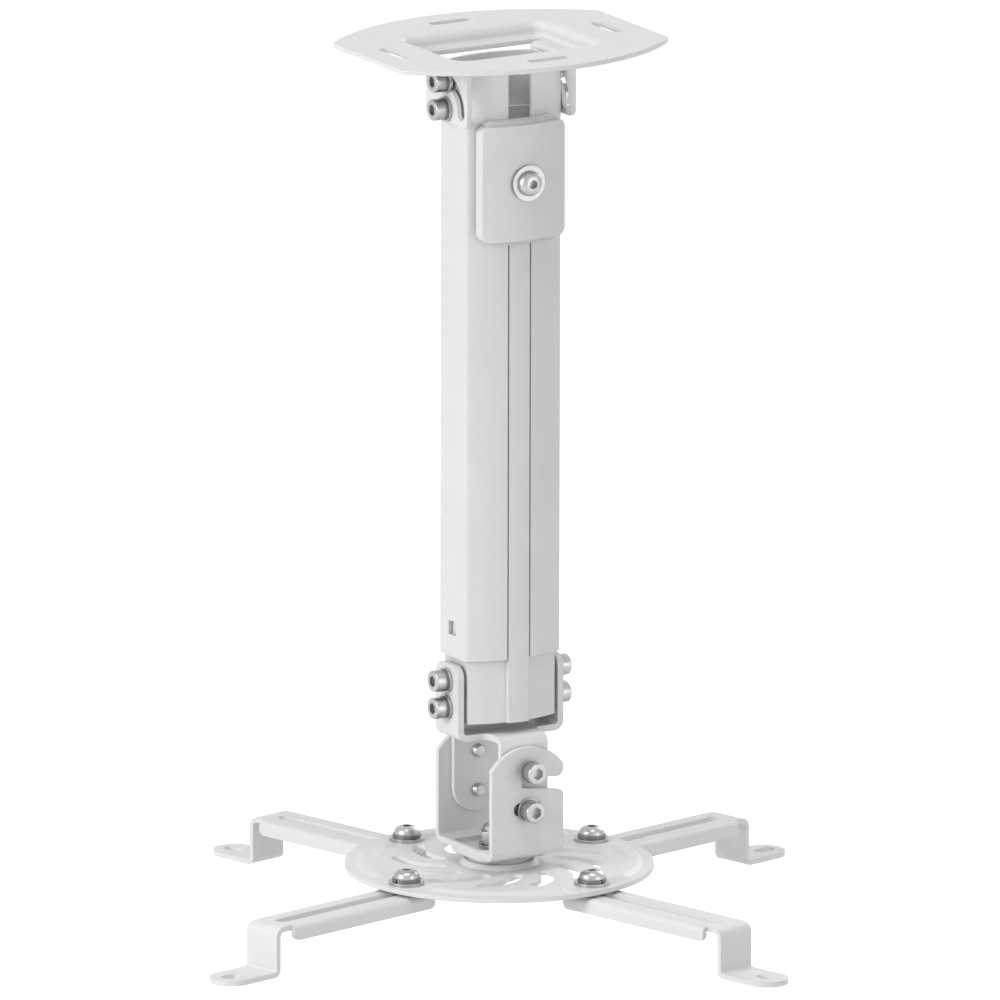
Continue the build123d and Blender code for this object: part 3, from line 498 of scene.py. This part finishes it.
def nut_tree():
    """Bored hexagon with a round flange or collar at a height of its own."""
    tree = Shape("nut", ["Flats", "Hex Start", "Hex Height", "Bore Radius", "Round Start", "Round Height",
                         "Round Radius", "Round Crown", "Round Bore"])
    size = tree.given
    hexagon = tree.moved(tree.hex_body(size["Flats"], size["Hex Height"]), size["Hex Start"])
    hexagon = tree.bored(hexagon, size["Bore Radius"], size["Flats"])
    rim = tree.times(size["Round Height"], COLLAR_RIM)
    collar = tree.domed(size["Round Radius"], size["Round Height"], rim, size["Round Crown"])
    collar = tree.bored(tree.moved(collar, size["Round Start"]), size["Round Bore"], size["Flats"])
    return tree.lay_out(tree.joined(hexagon, collar))


def insert_tree():
    """Nylon ring pressed into a locking nut."""
    tree = Shape("insert", ["Radius", "Bore Radius", "Start", "Height"])
    size = tree.given
    rim = tree.times(size["Height"], INSERT_RIM)
    ring = tree.domed(size["Radius"], size["Height"], rim, tree.times(size["Radius"], INSERT_CROWN))
    return tree.lay_out(tree.moved(tree.bored(ring, size["Bore Radius"], size["Height"]), size["Start"]))


def repeated(name, shape, places, sizes, slot, body, *replaced):
    """One mesh of a fastener on all its places: (point, way out, turn). It rides on a body."""
    mesh = bpy.data.meshes.new(name)
    mesh.from_pydata([place[0] for place in places], [], [])
    outs = mesh.attributes.new("out", "FLOAT_VECTOR", "POINT")
    outs.data.foreach_set("vector", [c for place in places for c in place[1]])
    turns = mesh.attributes.new("turn", "FLOAT", "POINT")
    turns.data.foreach_set("value", [place[2] for place in places])
    piece = linked(bpy.data.objects.new(name, mesh))
    modifier = piece.modifiers.new("laid_out", "NODES")
    modifier.node_group = shape.tree
    given = dict(sizes, Finish=finishes[slot])
    for socket in shape.tree.interface.items_tree:
        if socket.name in given:
            modifier[socket.identifier] = given[socket.name]
    graph = bpy.context.evaluated_depsgraph_get()
    piece_mesh = bpy.data.meshes.new_from_object(piece.evaluated_get(graph))
    piece.modifiers.clear()
    piece.data = piece_mesh
    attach(piece, body)
    if replaced:
        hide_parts(*replaced)


def across(x, heights, way=1):
    """Places on both sides of the column, facing away from it or, with way -1, towards it."""
    return [((side * x, 0.0, z), (side * way, 0.0, 0.0), 0.0) for z in heights for side in (-1, 1)]


def front_and_back(y, z):
    """Places on the front and the back of the clevis, facing away from it."""
    return [((0.0, side * y, z), (0.0, side, 0.0), UPRIGHT) for side in (-1, 1)]


def column_fasteners(screw, nut):
    """Cap screws and nuts of the column's two ends, the tilt screws and the clamp's screw."""
    repeated("ceiling_cap_screws", screw, across(CEILING_SCREW_X, CEILING_SCREW_Z),
             {**CAP_SCREW, "Shank Length": CEILING_SHANK}, "zinc", "outer", "ceiling_screws")
    repeated("foot_cap_screws", screw, across(FOOT_SCREW_X, FOOT_SCREW_Z),
             {**CAP_SCREW, "Shank Length": FOOT_SHANK}, "zinc", "inner", "foot_screws")
    repeated("ceiling_hex_nuts", nut, across(CEILING_NUT_X, CEILING_SCREW_Z, -1), PLAIN_NUT, "zinc", "outer",
             "ceiling_nuts")
    repeated("foot_hex_nuts", nut, across(FOOT_NUT_X, FOOT_SCREW_Z, -1), PLAIN_NUT, "zinc", "inner",
             "foot_nuts")
    repeated("hook_cap_screws", screw, front_and_back(HOOK_SCREW_Y, HOOK_SCREW_Z),
             {**CAP_SCREW, "Shank Length": HOOK_SHANK}, "zinc", "inner", "tilt_screws")
    repeated("tilt_lock_cap_screws", screw, front_and_back(TILT_LOCK_Y, TILT_LOCK_Z),
             {**CAP_SCREW, "Shank Length": TILT_LOCK_SHANK}, "zinc", "inner")
    clamp = [((0.0, CLAMP_SCREW_Y, CLAMP_SCREW_Z), (0.0, -1.0, 0.0), UPRIGHT)]
    repeated("clamp_button_screw", screw, clamp, {**BUTTON_SCREW, "Shank Length": CLAMP_SHANK}, "zinc",
             "inner", "clamp_screw")


def swivel_fasteners(bolt, nut, insert):
    """The bolt on the swivel axis with its locking nut."""
    head = [((0.0, 0.0, SWIVEL_HEAD_Z), DOWN, 0.0)]
    seat = [((0.0, 0.0, SWIVEL_NUT_Z), UP, 0.0)]
    repeated("swivel_hex_bolt", bolt, head, SWIVEL_BOLT, "zinc", "clevis", "swivel_bolt")
    repeated("swivel_lock_nut", nut, seat, LOCK_NUT, "zinc", "clevis", "swivel_nut")
    repeated("swivel_nut_insert", insert, seat, NUT_INSERT, "nylon", "clevis")


def arm_fasteners(screw, nut):
    """The bolt through the disc at each arm, with its flange nut."""
    for index, arm in enumerate(ARMS):
        turn = math.radians(ARM_FIRST + ARM_STEP * index)
        x, y = ARM_PIVOT * math.cos(turn), ARM_PIVOT * math.sin(turn)
        repeated(f"{arm}_arm_button_bolt", screw, [((x, y, ARM_HEAD_Z), UP, turn)],
                 {**BUTTON_SCREW, "Shank Length": ARM_SHANK}, "zinc", f"{arm}_arm_clamp", f"{arm}_arm_bolt")
        repeated(f"{arm}_arm_flange_nut", nut, [((x, y, ARM_NUT_Z), DOWN, turn)], FLANGE_NUT, "zinc",
                 f"{arm}_arm_clamp", f"{arm}_arm_nut")


def fasteners():
    """Every screw, bolt and nut, with threads, sockets and chamfers, in place of its plain node."""
    screw, bolt, nut, insert = socket_screw_tree(), hex_bolt_tree(), nut_tree(), insert_tree()
    column_fasteners(screw, nut)
    swivel_fasteners(bolt, nut, insert)
    arm_fasteners(screw, nut)


def seen_factor(tree):
    """1 for rays that reach the camera directly, by a reflection or through glass, and 0 for light."""
    path = tree.add("ShaderNodeLightPath")
    seen = tree.math("MAXIMUM", path.outputs["Is Camera Ray"], path.outputs["Is Glossy Ray"])
    return tree.math("MAXIMUM", seen, path.outputs["Is Transmission Ray"])


def pale_floor():
    """A plain pale floor that keeps the mount's shadow."""
    mesh = bpy.data.meshes.new("floor")
    corners = [(-FLOOR_HALF, -FLOOR_HALF), (FLOOR_HALF, -FLOOR_HALF), (FLOOR_HALF, FLOOR_HALF),
               (-FLOOR_HALF, FLOOR_HALF)]
    mesh.from_pydata([(x, y, FLOOR_Z) for x, y in corners], [], [(0, 1, 2, 3)])
    floor = linked(bpy.data.objects.new("floor", mesh))
    material, tree = new_material("floor_paint")
    place = tree.add("ShaderNodeSeparateXYZ", {0: tree.add("ShaderNodeNewGeometry").outputs["Position"]})
    flat = tree.add("ShaderNodeCombineXYZ", {"X": place.outputs[0], "Y": place.outputs[1]}).outputs[0]
    reach = tree.add("ShaderNodeVectorMath", {0: flat}, operation="LENGTH").outputs["Value"]
    glow = tree.span(reach, GLOW_START, GLOW_END, FLOOR_GLOW, FAR_FLOOR_GLOW)
    lit = tree.add("ShaderNodeEmission", {
        "Color": grey(1.0), "Strength": tree.math("MULTIPLY", seen_factor(tree), glow)})
    matt = tree.add("ShaderNodeBsdfDiffuse", {"Color": grey(FLOOR_TONE)})
    both = tree.add("ShaderNodeAddShader", {0: matt.outputs[0], 1: lit.outputs[0]})
    tree.add("ShaderNodeOutputMaterial", {"Surface": both.outputs[0]})
    mesh.materials.append(material)


def white_world():
    """Soft light from all round, seen as plain white."""
    world = bpy.data.worlds.new("studio")
    bpy.context.scene.world = world
    world.use_nodes = True
    tree = Nodes(world.node_tree)
    strength = tree.span(seen_factor(tree), 0.0, 1.0, WORLD_LIGHT, WORLD_SEEN)
    light = tree.add("ShaderNodeBackground", {"Color": grey(1.0), "Strength": strength})
    tree.add("ShaderNodeOutputWorld", {"Surface": light.outputs[0]})


def direction(azimuth, elevation):
    """Unit vector from the mount towards a camera or lamp."""
    a, e = math.radians(azimuth), math.radians(elevation)
    return Vector((math.sin(a) * math.cos(e), -math.cos(a) * math.cos(e), math.sin(e)))


def lamp(name, azimuth, elevation, distance, size, power):
    """A square soft lamp that faces the middle of the mount."""
    data = bpy.data.lights.new(name, "AREA")
    data.shape = "SQUARE"
    data.size = size
    data.energy = power
    holder = linked(bpy.data.objects.new(name, data))
    towards = direction(azimuth, elevation)
    holder.location = LOOK_AT + towards * distance
    holder.rotation_euler = (-towards).to_track_quat("-Z", "Y").to_euler()


def camera():
    """The drawing's parallel view, taken with a very long lens."""
    data = bpy.data.cameras.new("camera")
    data.sensor_width = CAMERA_SENSOR
    data.lens = CAMERA_LENS
    data.clip_start = CLIP_START
    data.clip_end = CLIP_END
    holder = linked(bpy.data.objects.new("camera", data))
    towards = direction(CAMERA_AZIMUTH, CAMERA_ELEVATION)
    holder.location = LOOK_AT + towards * (FRAME_WIDTH * CAMERA_LENS / CAMERA_SENSOR)
    turn = (-towards).to_track_quat("-Z", "Y").to_matrix()
    roll = math.radians(CAMERA_ROLL)
    holder.rotation_euler = (turn @ Matrix.Rotation(roll, 3, "Z")).to_euler()
    bpy.context.scene.camera = holder


coat_model()
fasteners()
pale_floor()
white_world()
for lamp_name, lamp_values in LAMPS.items():
    lamp(lamp_name, *lamp_values)
camera()
bpy.context.scene.view_settings.view_transform = "Standard"
